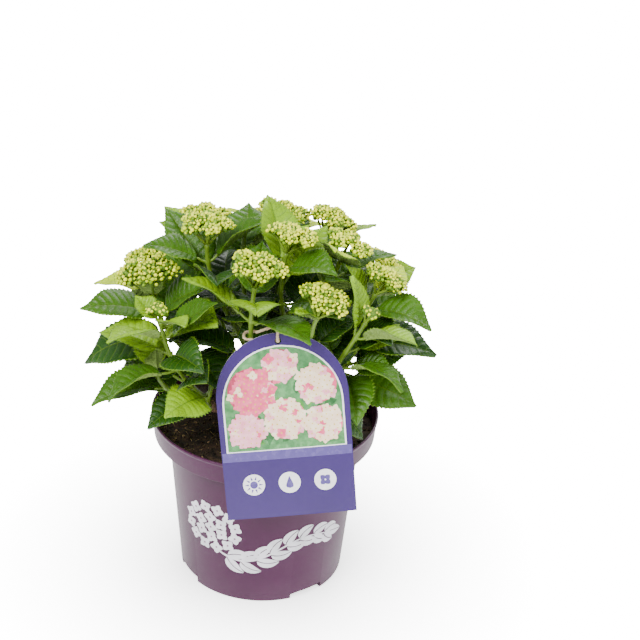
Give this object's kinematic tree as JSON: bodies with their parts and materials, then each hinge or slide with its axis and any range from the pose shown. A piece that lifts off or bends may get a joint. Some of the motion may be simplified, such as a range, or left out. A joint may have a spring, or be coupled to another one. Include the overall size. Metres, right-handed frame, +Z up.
{
  "type": "potted hydrangea shrub",
  "caption": "Young mophead hydrangea in bud: leafy shoots with flat heads of closed buds on woody canes, in a tapered nursery pot with a plant label tied on.",
  "frame": {"origin": "centre of the pot's flat underside", "axes": "+Z up, -Y towards the front with the label, +X to the right seen from the front"},
  "size_m": [0.3436, 0.3172, 0.4077],
  "materials": {
    "pot": "satin",
    "potting_mix": "matt crumbly peat",
    "bark": "rough, matt",
    "foliage": "satin leaf",
    "leaf_underside": "matt leaf",
    "young_stem": "satin",
    "flower_buds": "satin",
    "label": "printed, gloss",
    "tie": "matt"
  },
  "bodies": {
    "root": {"pot": "pot", "potting_mix": "potting_mix", "cane_front": "bark", "cane_front_right": "bark", "cane_front_left": "bark", "cane_left": "bark", "cane_centre": "bark", "cane_centre_right": "bark", "cane_right": "bark", "cane_back_right": "bark", "cane_back_left": "bark", "shoot_front_centre": "foliage", "shoot_front_right": "foliage", "shoot_left_outer": "foliage", "shoot_left_low": "foliage", "shoot_left_upper": "foliage", "shoot_middle": "foliage", "shoot_right_upper": "foliage", "shoot_right_outer": "foliage", "shoot_right_front": "foliage", "shoot_back_centre": "foliage", "shoot_crown_leaves": "foliage", "shoot_back_left_upper": "foliage", "shoot_back_right_upper": "foliage", "shoot_back_middle": "foliage", "shoot_right_back": "foliage", "shoot_left_back": "foliage", "shoot_back_left_low": "foliage", "shoot_left_skirt": "foliage", "shoot_right_skirt": "foliage", "shoot_front_skirt": "foliage", "shoot_back_skirt": "foliage", "plant_label": "label", "label_tie": "tie"}
  },
  "joints": []
}
